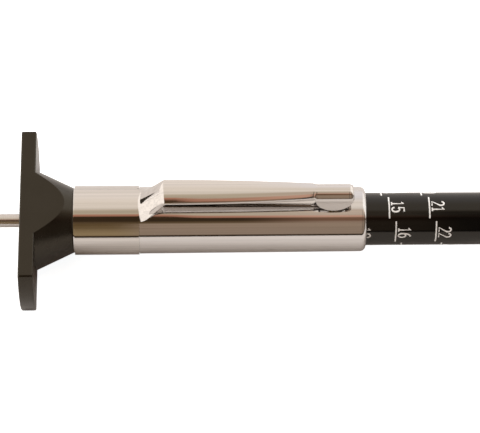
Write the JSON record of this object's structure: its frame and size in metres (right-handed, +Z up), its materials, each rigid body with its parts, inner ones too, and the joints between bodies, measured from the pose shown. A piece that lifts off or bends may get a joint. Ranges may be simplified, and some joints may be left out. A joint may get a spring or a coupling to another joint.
{
  "type": "tire tread depth gauge",
  "caption": "Pencil-shaped tread depth gauge with a flat-sided foot, a sliding probe pin, a scaled stem and a chromed barrel with a pocket clip.",
  "frame": {"origin": "centre of the foot's measuring face, on the axis of the pin", "axes": "+X along the stem, away from the measuring face; +Z up, square to the foot's flats, with the pocket clip on top"},
  "size_m": [0.0853, 0.027, 0.0143],
  "materials": {
    "black_plastic": "fine matte moulded black",
    "chromed_tube": "bright chrome on a drawn tube",
    "chromed_sheet": "bright chrome on stamped sheet",
    "black_stem": "smooth gloss black",
    "white_paint": "white paint filled into the engraved marks",
    "pin_steel": "ground steel",
    "turned_brass": "turned brass",
    "seal_rubber": "black seal rubber"
  },
  "bodies": {
    "barrel": {"foot": "black_plastic", "barrel_tube": "chromed_tube", "pocket_clip": "chromed_sheet"},
    "slider": {"friction_ring": "seal_rubber"},
    "stem": {"scale_stem": "black_stem", "scale_marks": "white_paint", "probe_pin": "pin_steel", "stem_head": "turned_brass"}
  },
  "joints": [
    {"name": "stem_slide", "type": "slide", "parent": "barrel", "child": "slider", "axis": [1, 0, 0], "range_m": [-0.01334, 0.01166]},
    {"name": "stem_spin", "type": "hinge", "parent": "slider", "child": "stem", "pos_m": [0.03719, 0, 0], "axis": [1, 0, 0], "continuous": true}
  ]
}
